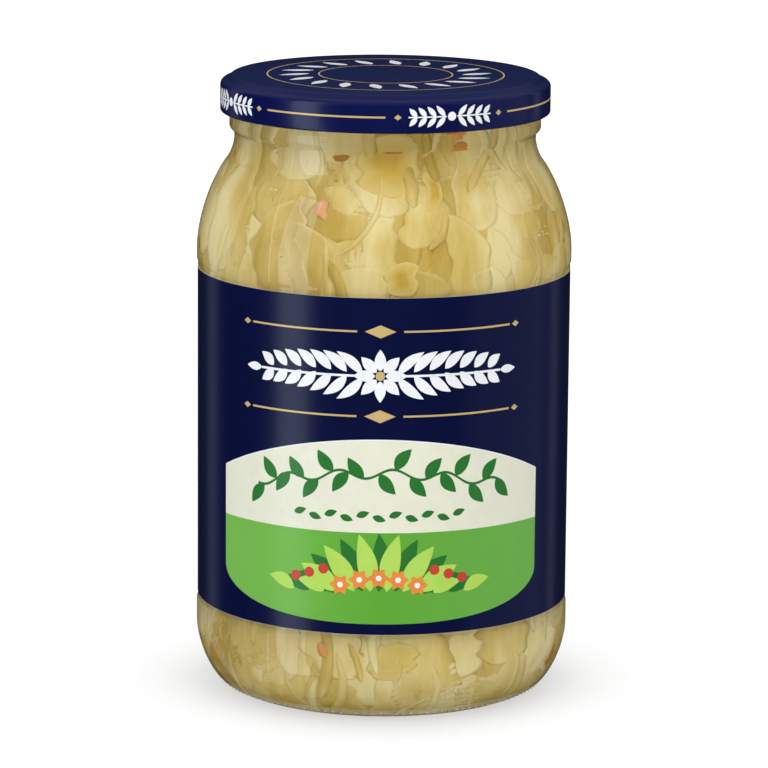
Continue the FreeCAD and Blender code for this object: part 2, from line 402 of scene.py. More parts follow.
def outside_corners():
    """The glass outside, from the middle of the base to the rim."""
    foot_r = BUMPER_R - HEEL_RUN
    return [
        (0, PUNT_H),
        (PUNT_FLAT_R, PUNT_H, PUNT_FILLET),
        (foot_r - FOOT_W, 0, PUNT_H / 2),
        (foot_r, 0, FOOT_FILLET),
        (BUMPER_R, HEEL_Z, HEEL_FILLET),
        (BUMPER_R, PANEL_Z - STEP_H, STEP_H),
        (PANEL_R, PANEL_Z, STEP_H),
        (PANEL_R, PANEL_TOP, STEP_H),
        (BUMPER_R, PANEL_TOP + STEP_H, STEP_H),
        (BUMPER_R, SHOULDER_Z, SHOULDER_FILLET),
        (NECK_R, NECK_Z, NECK_FILLET),
        (NECK_R, BEAD_Z, BEAD_STAND / 2),
        (NECK_R + BEAD_STAND, BEAD_Z + BEAD_STAND, BEAD_STAND),
        (NECK_R + BEAD_STAND, BEAD_TOP - BEAD_STAND, BEAD_STAND),
        (FINISH_R, BEAD_TOP, BEAD_STAND / 2),
        (FINISH_R, RIM_Z, RIM_FILLET),
    ]


def inside_corners(grow=0.0):
    """The inside of the glass, from the middle of its floor up the wall, grown outwards."""
    wall = WALL_T - grow
    heel_z = HEEL_Z + offset_drop(HEEL_RUN, HEEL_Z, wall + BUMPER_STAND)
    floor_z = FLOOR_Z - grow
    cavity_r = PANEL_R - wall
    floor_r = cavity_r - (heel_z - floor_z) * HEEL_RUN / HEEL_Z
    run = BUMPER_R - NECK_R
    return [
        (0, PUNT_H + BASE_T - grow),
        (PUNT_FLAT_R, PUNT_H + BASE_T - grow, PUNT_FILLET),
        (floor_r, floor_z, FLOOR_FILLET),
        (cavity_r, heel_z, HEEL_FILLET - wall),
        (cavity_r, SHOULDER_Z - offset_drop(run, SHOULDER_H, wall + BUMPER_STAND),
         SHOULDER_FILLET - wall),
        (NECK_R - wall, NECK_Z - offset_drop(run, SHOULDER_H, wall), NECK_FILLET + wall),
    ]


def make_glass(material, thick):
    """The jar, with a true inside and the two fine ridges that the mould leaves."""
    inside = inside_corners() + [(BORE_R, RIM_Z, RIM_FILLET)]
    bm = rounded_path(outside_corners() + inside[::-1])
    spin_round(bm)
    across = Vector((math.cos(SEAM_ANGLE), math.sin(SEAM_ANGLE), 0))
    for shift in (-0.25 * MM, 0.0, 0.25 * MM):
        bmesh.ops.bisect_plane(bm, geom=bm.verts[:] + bm.edges[:] + bm.faces[:], dist=1e-7,
                               plane_co=across * shift, plane_no=across)
    for v in bm.verts:
        radius = Vector((v.co.x, v.co.y)).length
        on_ridge = abs(v.co.dot(across)) < 0.01 * MM
        above_foot = v.co.z > 2 * MM and radius > PANEL_R - WALL_T / 2
        on_shoulder = v.co.z > SHOULDER_Z and radius > NECK_R - WALL_T / 2
        clear_of_label = not PANEL_Z - STEP_H < v.co.z < PANEL_TOP + STEP_H
        if on_ridge and clear_of_label and (above_foot or on_shoulder):
            v.co += Vector((v.co.x, v.co.y, 0)).normalized() * 0.12 * MM
    for face in bm.faces:
        face.material_index = 1 if face.calc_center_median().z < BASE_GLASS_Z else 0
    return to_object("glass", bm, [material, thick])


def make_foot_stipple(material):
    """Short raised dashes round the heel, low down, as bottle makers put there for grip."""
    path = rounded_path(outside_corners())
    heel = [v for v in path_points(path) if v.x > BUMPER_R - HEEL_RUN]
    path.free()
    spot = min(heel, key=lambda point: abs(point.z - DASH_Z))
    bm = bmesh.new()
    count = 132
    for i in range(count):
        place = Matrix.Rotation(2 * math.pi * i / count, 4, "Z") @ Matrix.Translation(spot) \
            @ Matrix.Rotation(math.radians(-35), 4, "Y")
        shape = Matrix.Diagonal((0.2 * MM, 0.55 * MM, 0.3 * MM, 1))
        bmesh.ops.create_icosphere(bm, subdivisions=2, radius=1.0, matrix=place @ shape)
    return to_object("foot_stipple", bm, [material])


# ---- sauerkraut ----------------------------------------------------------------------------------
class Wall:
    """The inside of the glass as a path, to lay things against it."""

    def __init__(self):
        bm = rounded_path(inside_corners() + [(BORE_R, FILL_Z)])
        self.points = path_points(bm)
        bm.free()
        self.reach = [0.0]
        for a, b in zip(self.points, self.points[1:]):
            self.reach.append(self.reach[-1] + (b - a).length)

    def at(self, s):
        """Radius, height and outward direction at a distance s along the path."""
        s = min(max(s, 0.0), self.reach[-1] * 0.9999)
        i = bisect.bisect_right(self.reach, s) - 1
        a, b = self.points[i], self.points[i + 1]
        share = (s - self.reach[i]) / (self.reach[i + 1] - self.reach[i])
        spot = a.lerp(b, share)
        along = (b - a).normalized()
        return spot.x, spot.z, along.z, -along.x

    def place(self, s, angle, depth):
        """A point depth into the glass from the inside surface."""
        radius, height, out, up = self.at(s)
        radius += depth * out
        return Vector((radius * math.sin(angle), -radius * math.cos(angle),
                       height + depth * up))

    def s_at_height(self, z):
        """The distance along the path at which the wall passes a height."""
        for i in range(1, len(self.points)):
            below, above = self.points[i - 1], self.points[i]
            if above.z >= z and above.x > NECK_R / 2:
                part = max(0.0, (z - below.z) / max(above.z - below.z, 1e-9))
                return self.reach[i - 1] + min(1.0, part) * (self.reach[i] - self.reach[i - 1])
        return self.reach[-1]


def leaf_outline(t, seed, ragged):
    """Half width of a torn or cut piece at t, from -1 at one end to 1 at the other."""
    swell = math.sqrt(max(0.0, 1 - abs(t) ** 3.5))
    return swell * (1 + ragged * noise.noise(Vector((t * 2.2, seed, 0.0))))


def scatter(wall, rng, count, lengths, widths, levels, lean, tint_spread=0.08, tries=1):
    """Random pieces: where each lies, how it leans, its size, its depth and its tint. Of so
    many tries, a piece takes the place that is furthest from the others."""
    pieces = []
    while len(pieces) < count:
        best = None
        for _ in range(tries):
            s = rng.uniform(0.17, 1.0) * wall.reach[-1]
            angle = rng.uniform(-math.pi, math.pi)
            room = min((math.hypot((s - other[0]) * 0.6, math.remainder(angle - other[1], 2 * math.pi)
                                   * CAVITY_R) for other in pieces), default=1.0)
            if best is None or room > best[0]:
                best = (room, s, angle)
        s, angle = best[1:]
        length, width = rng.uniform(*lengths), rng.uniform(*widths)
        pieces.append((s, angle, rng.gauss(0, lean), length, width,
                       rng.uniform(*levels), rng.gauss(0.5, tint_spread), rng.uniform(0.8, 1.0)))
    return pieces


def lay_pieces(name, wall, pieces, material, rng, ragged=0.5, cells=(10, 4), ripple=0.02 * MM,
               thickness=0.045 * MM):
    """Thin pieces of one kind pressed against the glass, in one joined mesh."""
    bm = bmesh.new()
    tints = []
    across = []
    for s0, angle0, lean, length, width, level, tint, rim in pieces:
        seed = rng.uniform(0, 100)
        bow = rng.uniform(-0.2, 0.2) * length
        made = bmesh.ops.create_grid(bm, x_segments=cells[0], y_segments=cells[1], size=1.0)
        for v in made["verts"]:
            t, w = v.co.x, v.co.y
            along = t * length / 2
            side = w * leaf_outline(t, seed + w * 0.6, ragged) * width / 2
            side += bow * (t * t - 0.4) + 0.12 * width * noise.noise(Vector((t * 3, seed, 5)))
            s = s0 + along * math.cos(lean) - side * math.sin(lean)
            round_by = along * math.sin(lean) + side * math.cos(lean)
            radius = max(wall.at(s)[0], 8 * MM)
            depth = level + ripple * noise.noise(Vector((t * 1.5, w * 1.2, seed)))
            v.co = wall.place(s, angle0 + round_by / radius, depth)
            tints.append(tint + 0.05 * noise.noise(Vector((t * 1.5, w, seed))))
            across.append(max(abs(w), abs(t)) * rim)
    piece = to_object(name, bm, [material])
    for key, values in (("tint", tints), ("across", across)):
        layer = piece.data.attributes.new(key, "FLOAT", "POINT")
        layer.data.foreach_set("value", values)
    solid = piece.modifiers.new("thickness", "SOLIDIFY")
    solid.thickness = thickness
    solid.offset = -1.0
    return piece


def make_bubbles(material, wall, rng):
    """A few tiny bubbles of gas caught low against the glass, drawn as opaque pale beads whose colour
    is a painted sheen.
    """
    bm = bmesh.new()
    for height, degrees, count in ((7.2, 26, 16), (9.5, -150, 12), (125, 62, 8), (12, 105, 10)):
        for _ in range(count):
            s = wall.s_at_height((height + rng.gauss(0, 0.8)) * MM)
            centre = wall.place(s, math.radians(degrees + rng.gauss(0, 3.2)), BUBBLE_LEVEL)
            bmesh.ops.create_icosphere(bm, subdivisions=2, radius=rng.uniform(0.12, 0.34) * MM,
                                       matrix=Matrix.Translation(centre))
    return to_object("bubbles", bm, [material])


def make_core(material, wall):
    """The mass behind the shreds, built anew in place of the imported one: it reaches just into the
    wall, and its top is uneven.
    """
    grow = 0.12 * MM
    top = [(BORE_R + grow, FILL_Z - 1.5 * MM, 1 * MM), (BORE_R / 2, FILL_Z, 10 * MM), (0, FILL_Z)]
    bm = rounded_path(inside_corners(grow) + top)
    spin_round(bm)
    for v in bm.verts:
        if v.co.z > BEAD_TOP:
            v.co.z += 0.6 * MM * (noise.noise(v.co * 120) - 1)
    core = to_object("cabbage_core", bm, [material], math.radians(180))
    count = len(core.data.vertices)
    tint = core.data.attributes.new("tint", "FLOAT", "POINT")
    tint.data.foreach_set("value", [0.5] * count)
    across = core.data.attributes.new("across", "FLOAT", "POINT")
    across.data.foreach_set("value", [0.0] * count)
    return core


# ---- lid -----------------------------------------------------------------------------------------
def make_lid(lacquer, inside):
    """The cap: raised panel, ledge, skirt and rolled hem."""
    plate = 0.3 * MM
    ledge_h = 1.3 * MM
    ledge_z = LID_TOP - ledge_h
    ledge_in = LID_R - 1.7 * MM
    panel_r = ledge_in - ledge_h
    hem_in = LID_R - 1.3 * MM
    seal_z = RIM_Z + 0.02 * MM
    bm = rounded_path([
        (0, LID_FACE),
        (panel_r, LID_FACE, 0.8 * MM),
        (ledge_in, ledge_z, 0.8 * MM),
        (LID_R, ledge_z, 1.4 * MM),
        (LID_R, HEM_Z, 0.65 * MM),
        (hem_in, HEM_Z, 0.65 * MM),
        (hem_in, HEM_Z + 1.2 * MM, 0.4 * MM),
        (LID_R - plate, HEM_Z + 1.2 * MM),
        (LID_R - plate, ledge_z - plate, 1.1 * MM),
        (FINISH_R + 0.2 * MM, ledge_z - plate),
        (FINISH_R + 0.1 * MM, seal_z, 0.1 * MM),
        (BORE_R, seal_z, 0.1 * MM),
        (BORE_R, LID_FACE - plate),
        (0, LID_FACE - plate),
    ])
    spin_round(bm)
    for face in bm.faces:
        middle = face.calc_center_median()
        outward = face.normal.dot(Vector((middle.x, middle.y, 0)).normalized())
        inner_side = outward < -0.2 or face.normal.z < -0.2
        face.material_index = 1 if inner_side and middle.z > HEM_Z + 1.1 * MM else 0
    return to_object("lid_shell", bm, [lacquer, inside])


# ---- label ---------------------------------------------------------------------------------------
PAPER_R = PANEL_R + 0.1 * MM
LABEL_TURN = math.radians(-0.85)   # the label sits a hair to the left


def wrap(bm, radius, lift=None, turn=0.0):
    """Rolls flat work, drawn with x round the jar, y out of it and z up, on to the jar."""
    for v in bm.verts:
        out = radius + v.co.y + (lift(v.co.x) if lift else 0.0)
        angle = v.co.x / radius + turn
        v.co = Vector((out * math.sin(angle), -out * math.cos(angle), v.co.z))


def ink_layer(bm, layer, step=1.2 * MM):
    """Gives flat shapes the thickness of a layer of ink, cut in strips so that they can roll."""
    for face in bm.faces:
        face.normal_update()
        if face.normal.y < 0:
            face.normal_flip()
    first = math.ceil(min(v.co.x for v in bm.verts) / step)
    last = math.floor(max(v.co.x for v in bm.verts) / step)
    for i in range(first, last + 1):
        bmesh.ops.bisect_plane(bm, geom=bm.verts[:] + bm.edges[:] + bm.faces[:], dist=1e-7,
                               plane_co=(i * step, 0, 0), plane_no=(1, 0, 0))
    made = bmesh.ops.extrude_face_region(bm, geom=bm.faces[:])
    top = [v for v in made["geom"] if isinstance(v, bmesh.types.BMVert)]
    bottom = set(bm.verts) - set(top)
    for v in top:
        v.co.y = (layer + 0.9) * INK_T
    for v in bottom:
        v.co.y = layer * INK_T - 0.5 * INK_T
    bmesh.ops.recalc_face_normals(bm, faces=bm.faces[:])


def label_print(name, bm, material, layer):
    """Flat shapes as ink on the label."""
    ink_layer(bm, layer)
    wrap(bm, PAPER_R, turn=LABEL_TURN)
    return to_object(name, bm, [material])


def skirt_print(name, bm, material):
    """Flat shapes as ink on the lid's skirt."""
    ink_layer(bm, 0)
    wrap(bm, LID_R)
    return to_object(name, bm, [material])


def top_print(name, bm, material):
    """Flat shapes as ink on the lid's top."""
    ink_layer(bm, 0, 1.0)
    for v in bm.verts:
        v.co = Vector((v.co.x, v.co.z, LID_FACE + v.co.y))
    bmesh.ops.recalc_face_normals(bm, faces=bm.faces[:])
    return to_object(name, bm, [material])


def hoop(bm, radius, width, sides=120):
    """A flat ring round the origin."""
    made = bmesh.ops.create_grid(bm, x_segments=sides, y_segments=1, size=1.0)["verts"]
    for v in made:
        turn = (v.co.x + 1) * math.pi
        reach = radius + v.co.y * width / 2
        v.co = Vector((reach * math.cos(turn), 0.0, reach * math.sin(turn)))
    bmesh.ops.remove_doubles(bm, verts=bm.verts[:], dist=0.001 * MM)


def band(bm, left, right, low, high, columns=96, ends=True):
    """A flat field between two outlines, each a function of the distance round the jar."""
    middle, half = (left + right) / 2, (right - left) / 2
    made = bmesh.ops.create_grid(bm, x_segments=columns, y_segments=1, size=1.0)["verts"]
    for v in made:
        share = math.sin(v.co.x * math.pi / 2) if ends else v.co.x
        x = middle + half * share
        v.co = Vector((x, 0.0, high(x) if v.co.y > 0 else low(x)))


def leaf(bm, x, z, angle, length, width, bend=0.0, point=0.85):
    """A flat leaf that starts at (x, z) and grows towards an angle from +X."""
    turn = Matrix.Rotation(-angle, 3, "Y")
    made = bmesh.ops.create_grid(bm, x_segments=10, y_segments=2, size=1.0)["verts"]
    for v in made:
        t = (v.co.x + 1) / 2
        half = math.sin(math.pi * t ** point) ** 0.9 * width / 2
        flat = Vector((t * length, 0.0, v.co.y * half + bend * length * 4 * t * (1 - t)))
        v.co = turn @ flat + Vector((x, 0.0, z))


def dot(bm, x, z, radius, sides=20):
    """A flat round spot."""
    place = Matrix.Translation((x, 0, z)) @ Matrix.Rotation(math.pi / 2, 4, "X")
    bmesh.ops.create_circle(bm, cap_ends=True, cap_tris=True, segments=sides, radius=radius,
                            matrix=place)


def diamond(bm, x, z, width, height):
    """A flat lozenge."""
    place = Matrix.Translation((x, 0, z)) @ Matrix.Diagonal((width / 2, 1, height / 2, 1)) \
        @ Matrix.Rotation(math.pi / 2, 4, "X")
    bmesh.ops.create_circle(bm, cap_ends=True, segments=4, radius=1.0, matrix=place)


def make_label(ink):
    """The printed sheet, wrapped once round and lapped at the back, and its fields of colour."""
    lap = 9.0 * MM
    sheet = 2 * math.pi * PANEL_R + lap
    gap = 0.01 * MM
    paper = PAPER_R - PANEL_R - gap

    bm = bmesh.new()
    bmesh.ops.create_grid(bm, x_segments=320, y_segments=3, size=1.0)
    trim = 0.07 * MM
    rows = (LABEL_Z, LABEL_Z + trim, LABEL_TOP - trim, LABEL_TOP)
    for v in bm.verts:
        v.co = Vector((v.co.x * sheet / 2, 0.0, rows[round((v.co.y + 1) * 1.5)]))
    bmesh.ops.recalc_face_normals(bm, faces=bm.faces[:])
    if bm.faces[:][0].normal.y < 0:
        bmesh.ops.reverse_faces(bm, faces=bm.faces[:])
    made = bmesh.ops.extrude_face_region(bm, geom=bm.faces[:])
    top = {v for v in made["geom"] if isinstance(v, bmesh.types.BMVert)}
    for v in bm.verts:
        v.co.y = 0.0 if v in top else -paper
    bmesh.ops.recalc_face_normals(bm, faces=bm.faces[:])
    for face in bm.faces:
        height = face.calc_center_median().z
        printed = face.normal.y > 0.5 and LABEL_Z + trim < height < LABEL_TOP - trim
        face.material_index = 1 if printed else 0

    def lift(x):
        share = min(1.0, max(0.0, (x - sheet / 2 + 1.6 * lap) / (0.5 * lap)))
        return (paper + 2 * gap) * share * share * (3 - 2 * share)

    wrap(bm, PAPER_R, lift)
    to_object("label_sheet", bm, [ink["paper"], ink["navy"]])

    half = math.radians(54.9) * PAPER_R
    rise = 11.3 * MM
    crest = LABEL_Z + 51.5 * MM
    join = LABEL_Z + 27.0 * MM
    foot = LABEL_Z + 2.9 * MM
    side_foot = LABEL_Z + 13.8 * MM

    def arch(x):
        return crest - rise * (x / half) ** 2

    def bowl(x):
        return side_foot - (side_foot - foot) * math.sqrt(max(0.0, 1 - abs(x / half) ** 2.6))

    bm = bmesh.new()
    band(bm, -half, half, lambda x: join, arch)
    label_print("print_cream", bm, ink["cream"], 1)
    bm = bmesh.new()
    band(bm, -half, half, bowl, lambda x: join)
    label_print("print_green", bm, ink["green"], 1)
    bm = bmesh.new()
    band(bm, -half, half, lambda x: arch(x) - 0.3 * MM, arch)
    label_print("print_cream_edge", bm, ink["white"], 2)
    return crest, join


def make_emblem(ink, crest):
    """White leaf spray between two gold rules, on the navy above the panel."""
    middle_z = crest + 16.5 * MM
    bm = bmesh.new()
    for side in (-1, 1):
        for i in range(7):
            x = side * (4.5 + 4.1 * i) * MM
            z = middle_z + 1.1 * MM * math.sin(i * 0.45)
            size = (8.8 - 0.65 * i) * MM
            heading = 0.0 if side > 0 else math.pi
            leaf(bm, x, z + 0.5 * MM, heading + side * math.radians(40), size, 2.7 * MM, 0.06 * side)
            leaf(bm, x, z - 0.5 * MM, heading - side * math.radians(40), size, 2.7 * MM, -0.06 * side)
        band(bm, *sorted((side * 2.0 * MM, side * 33 * MM)), lambda x: middle_z - 0.3 * MM,
             lambda x: middle_z + 0.3 * MM, 40, False)
        leaf(bm, side * 33 * MM, middle_z, 0.0 if side > 0 else math.pi, 5 * MM, 2.2 * MM)
    for i in range(8):
        turn = math.pi / 4 * i
        leaf(bm, 1.3 * MM * math.cos(turn), middle_z + 1.3 * MM * math.sin(turn), turn,
             5.6 * MM, 2.9 * MM)
    label_print("print_spray", bm, ink["white"], 1)

    bm = bmesh.new()
    for z in (middle_z + 11.5 * MM, middle_z - 10.5 * MM):
        for side in (-1, 1):
            band(bm, *sorted((side * 6 * MM, side * 36 * MM)), lambda x: z - 0.25 * MM,
                 lambda x: z + 0.25 * MM, 40, False)
            diamond(bm, side * 38 * MM, z, 2.4 * MM, 1.6 * MM)
        diamond(bm, 0, z, 8 * MM, 3.4 * MM)
    dot(bm, 0, middle_z, 1.2 * MM)
    label_print("print_gold", bm, ink["gold"], 2)


def make_back(ink):
    """The back of the label: a bare cream field under a small spray, framed by gold rules."""
    low, high = LABEL_Z + 12 * MM, LABEL_Z + 58 * MM
    reach = 24 * MM
    for side, name in ((-1, "left"), (1, "right")):
        middle = side * math.radians(128) * PAPER_R
        bm = bmesh.new()
        band(bm, middle - reach, middle + reach,
             lambda x: low + 3 * MM * (1 - math.sqrt(max(0.0, 1 - abs((x - middle) / reach) ** 12))),
             lambda x: high - 3 * MM * (1 - math.sqrt(max(0.0, 1 - abs((x - middle) / reach) ** 12))))
        label_print("print_field_" + name, bm, ink["cream"], 1)
        bm = bmesh.new()
        for z in (low - 4 * MM, high + 4 * MM, high + 20 * MM):
            band(bm, middle - reach, middle + reach, lambda x: z - 0.2 * MM,
                 lambda x: z + 0.2 * MM, 48, False)
        for end in (-1, 1):
            for z in (low - 4 * MM, high + 4 * MM, high + 20 * MM):
                diamond(bm, middle + end * (reach + 2 * MM), z, 2 * MM, 1.4 * MM)
        label_print("print_rules_" + name, bm, ink["gold"], 1)
        bm = bmesh.new()
        for end in (-1, 1):
            heading = 0.0 if end > 0 else math.pi
            for i in range(6):
                for up in (-1, 1):
                    leaf(bm, middle + end * (2.2 + 2.9 * i) * MM, high + (12 + 0.2 * up) * MM,
                         heading + end * up * math.radians(42), (5.6 - 0.4 * i) * MM, 1.9 * MM)
        dot(bm, middle, high + 12 * MM, 1.5 * MM)
        label_print("print_sprig_" + name, bm, ink["white"], 1)


def make_garland(ink, crest, join):
    """A green vine over the cream, with a row of leaves under it."""
    bm = bmesh.new()

    def vine(x):
        sag = 4.5 * MM * (x / (34 * MM)) ** 2
        return crest - 9.0 * MM - sag + 1.2 * MM * math.sin(x / MM * 0.45)

    band(bm, -34 * MM, 34 * MM, lambda x: vine(x) - 0.35 * MM, lambda x: vine(x) + 0.35 * MM,
         90, False)
    for i in range(-8, 9):
        x = i * 4.0 * MM
        up = 1 if i % 2 else -1
        leaf(bm, x, vine(x), math.radians(52) * up if i >= 0 else math.pi - math.radians(52) * up,
             6.8 * MM, 3.3 * MM, 0.05 * up)
    for i in range(-5, 6):
        x = i * 4.2 * MM
        leaf(bm, x - 1.7 * MM, join + 4.3 * MM, math.radians(18 if i % 2 else -18),
             3.6 * MM, 1.8 * MM)
    label_print("print_garland", bm, ink["deep_green"], 2)


def make_bouquet(ink, join):
    """A low fan of leaves with orange and red blossoms, on the green."""
    base_z = join - 15.5 * MM
    light = bmesh.new()
    dark = bmesh.new()
    warm = bmesh.new()
    red = bmesh.new()
    pale = bmesh.new()
    for i in range(-6, 7):
        x = i * 2.1 * MM
        angle = math.pi / 2 - i * math.radians(11.5)
        target = light if i % 2 else dark
        leaf(target, x, base_z, angle, (15.5 - 0.14 * i * i) * MM, 5.2 * MM,
             0.04 if i > 0 else -0.04)
    for side in (-1, 1):
        for i in range(4):
            x = side * (10 + 4.2 * i) * MM
            heading = math.radians(20) if side > 0 else math.pi - math.radians(20)
            leaf(light if i % 2 else dark, x, base_z - 0.5 * MM, heading, 8 * MM, 3.6 * MM,
                 0.1 * side)
        for i in range(3):
            dot(red, side * (14.5 + 3.8 * i) * MM, base_z + (5.5 - 1.2 * i) * MM, 1.35 * MM)
    for i in range(-2, 3):
        x = i * 5.0 * MM
        z = base_z + (3.6 - 0.5 * i * i) * MM
        for p in range(6):
            turn = math.pi / 3 * p
            leaf(warm, x, z, turn, 2.8 * MM, 1.9 * MM)
        dot(pale, x, z, 0.75 * MM)
    label_print("print_leaves_dark", dark, ink["deep_green"], 2)
    label_print("print_leaves_light", light, ink["lime"], 3)
    label_print("print_berries", red, ink["red"], 4)
    label_print("print_blossoms", warm, ink["orange"], 5)
    label_print("print_centres", pale, ink["white"], 6)


def make_lid_print(ink):
    """Gold rules and white sprigs round the skirt, and a ring of leaves on the top."""
    gold = bmesh.new()
    white = bmesh.new()
    middle_z = LID_TOP - 5.3 * MM
    quarter = math.pi / 2 * LID_R
    for i in range(-2, 2):
        start = i * quarter
        band(gold, start + 46 * quarter / 90, start + quarter,
             lambda x: middle_z - 0.24 * MM, lambda x: middle_z + 0.24 * MM, 40, False)
        sprig = start + 23 * quarter / 90
        for side in (-1, 1):
            diamond(gold, sprig + side * 14.2 * MM, middle_z, 1.9 * MM, 1.5 * MM)
            band(white, *sorted((sprig + side * 1.5 * MM, sprig + side * 11.5 * MM)),
                 lambda x: middle_z - 0.18 * MM, lambda x: middle_z + 0.18 * MM, 12, False)
            for k in range(4):
                x = sprig + side * (1.8 + 2.5 * k) * MM
                heading = 0.0 if side > 0 else math.pi
                for up in (-1, 1):
                    leaf(white, x, middle_z + up * 0.1 * MM, heading + side * up * math.radians(48),
                         (3.7 - 0.25 * k) * MM, 1.35 * MM)
        dot(white, sprig, middle_z, 1.15 * MM)
    skirt_print("lid_rules", gold, ink["gold"])
    skirt_print("lid_sprigs", white, ink["white"])

    gold = bmesh.new()
    white = bmesh.new()
    hoop(gold, 31.0 * MM, 0.4 * MM)
    hoop(gold, 17.5 * MM, 0.4 * MM)
    for i in range(18):
        turn = math.pi / 9 * i
        leaf(white, 20.0 * MM * math.cos(turn), 20.0 * MM * math.sin(turn), turn + math.radians(24),
             8.6 * MM, 3.0 * MM)
    top_print("lid_rings", gold, ink["gold"])
    top_print("lid_leaves", white, ink["white"])


# ---- studio --------------------------------------------------------------------------------------
def make_floor():
    """The white floor: it lights the jar evenly. Seen from the camera it glows white over its own
    real shadow, with a painted shadow added: the glow is dimmed in a soft grey halo round the jar's
    foot.
    """
    bm = bmesh.new()
    bmesh.ops.create_grid(bm, x_segments=8, y_segments=8, size=6.0)
    mesh = bpy.data.meshes.new("floor")
    bm.to_mesh(mesh)
    bm.free()
    floor = bpy.data.objects.new("floor", mesh)
    bpy.context.scene.collection.objects.link(floor)
    material, tree, shader = new_material("white_floor")
    shader.inputs["Base Color"].default_value = (0.9, 0.9, 0.9, 1.0)
    shader.inputs["Roughness"].default_value = 0.9
    shader.inputs["Specular IOR Level"].default_value = 0.0
    light_path = tree.nodes.new("ShaderNodeLightPath")
    seen = maths(tree, "MAXIMUM", light_path.outputs["Is Camera Ray"],
                 light_path.outputs["Is Glossy Ray"])
    seen = maths(tree, "MAXIMUM", seen, light_path.outputs["Is Transmission Ray"])
    coords = tree.nodes.new("ShaderNodeTexCoord")
    length = tree.nodes.new("ShaderNodeVectorMath")
    length.operation = "LENGTH"
    tree.links.new(coords.outputs["Object"], length.inputs[0])
    # Painted shadow: the glow dims within about 75 mm of the jar's axis, making a grey halo round the
    # foot. Further out it rises, so that the far floor stays white.
    level = ramp(tree, length.outputs["Value"], [
        (0.040, (0.52, 0.52, 0.52)), (0.048, (0.64, 0.64, 0.64)), (0.057, (0.76, 0.76, 0.76)),
        (0.075, (0.84, 0.84, 0.84)), (0.15, (0.88, 0.88, 0.88)), (0.6, (1.0, 1.0, 1.0))])
    paper = add(tree, "ShaderNodeBsdfDiffuse", Color=(0.22, 0.22, 0.22, 1.0))
    glow_with_painted_shadow = add(tree, "ShaderNodeEmission", Strength=1.0)
    tree.links.new(level, glow_with_painted_shadow.inputs["Color"])
    shown = tree.nodes.new("ShaderNodeAddShader")
    tree.links.new(paper.outputs["BSDF"], shown.inputs[0])
    tree.links.new(glow_with_painted_shadow.outputs["Emission"], shown.inputs[1])
    pick = tree.nodes.new("ShaderNodeMixShader")
    tree.links.new(seen, pick.inputs["Fac"])
    tree.links.new(shader.outputs["BSDF"], pick.inputs[1])
    tree.links.new(shown.outputs["Shader"], pick.inputs[2])
    tree.links.new(pick.outputs["Shader"], tree.nodes["Material Output"].inputs["Surface"])
    mesh.materials.append(material)
    floor.visible_glossy = False


def panel(name, azimuth, elevation, distance, width, height, radiance, mirrored=True,
          tone=(1.0, 1.0, 1.0)):
    """A soft panel that faces the jar; azimuth 0 is the camera's side. A radiance of 1 looks
    as bright as white paper in full light."""
    data = bpy.data.lights.new(name, "AREA")
    data.shape = "RECTANGLE"
    data.size = width
    data.size_y = height
    data.energy = radiance * math.pi * width * height
    data.color = tone
    light = bpy.data.objects.new(name, data)
    bpy.context.scene.collection.objects.link(light)
    light.visible_camera = False
    light.visible_glossy = mirrored
    azimuth, elevation = math.radians(azimuth), math.radians(elevation)
    direction = Vector((math.sin(azimuth) * math.cos(elevation),
                        -math.cos(azimuth) * math.cos(elevation), math.sin(elevation)))
    light.location = Vector((0, 0, RIM_Z / 2)) + direction * distance
    light.rotation_euler = direction.to_track_quat("Z", "Y").to_euler()


def make_studio():
    """The world, the soft panels of light and the camera."""
    scene = bpy.context.scene
    scene.view_settings.view_transform = "Standard"
    world = bpy.data.worlds.new("studio")
    scene.world = world
    world.use_nodes = True
    tree = world.node_tree
    background = tree.nodes["Background"]
    coords = tree.nodes.new("ShaderNodeTexCoord")
    split = tree.nodes.new("ShaderNodeSeparateXYZ")
    tree.links.new(coords.outputs["Generated"], split.inputs["Vector"])
    height = maths(tree, "ADD", maths(tree, "MULTIPLY", split.outputs["Z"], 0.5), 0.5)
    sky = ramp(tree, height, [(0.50, (0.015, 0.015, 0.017)), (0.56, (0.02, 0.03, 0.045)),
                              (0.64, (0.035, 0.045, 0.065)), (0.85, (0.28, 0.28, 0.28)),
                              (1.0, (0.35, 0.35, 0.35))])
    tree.links.new(sky, background.inputs["Color"])
    background.inputs["Strength"].default_value = 1.0

    panel("front_left", -36, 45, 1.5, 1.1, 1.1, 2.1, False)
    panel("front_right", 44, 45, 1.5, 1.1, 1.1, 1.95, False)
    panel("front_low", 5, 4, 1.4, 1.5, 0.35, 2.6, False)
    panel("overhead", 180, 75, 1.4, 1.6, 1.6, 0.6, False)
    panel("rear_left", -132, 35, 1.6, 1.1, 1.1, 1.3, False)
    panel("rear_right", 138, 35, 1.6, 1.1, 1.1, 1.3, False)
    cool = (0.86, 0.95, 1.1)
    panel("strip_left", -56, 0, 0.9, 0.32, 1.5, 2.1, tone=cool)
    panel("strip_right", 84, 0, 0.9, 1.1, 1.5, 0.22, tone=cool)
    panel("strip_back_left", -128, 0, 0.9, 0.2, 1.5, 0.3, tone=cool)
    panel("strip_back_right", 128, 0, 0.9, 0.14, 1.5, 0.3, tone=cool)

    camera_data = bpy.data.cameras.new("camera")
    camera_data.sensor_width = 36.0
    camera_data.lens = 210.2
    camera_data.clip_end = 20.0
    camera = bpy.data.objects.new("camera", camera_data)
    scene.collection.objects.link(camera)
    distance, height = 1.1666, 0.31905
    pitch, roll = math.radians(11.559), math.radians(0.48)
    camera.matrix_world = Matrix.Translation((0, -distance, height)) \
        @ Matrix.Rotation(math.radians(-0.012), 4, "Z") \
        @ Matrix.Rotation(math.pi / 2 - pitch, 4, "X") @ Matrix.Rotation(roll, 4, "Z")
    scene.camera = camera


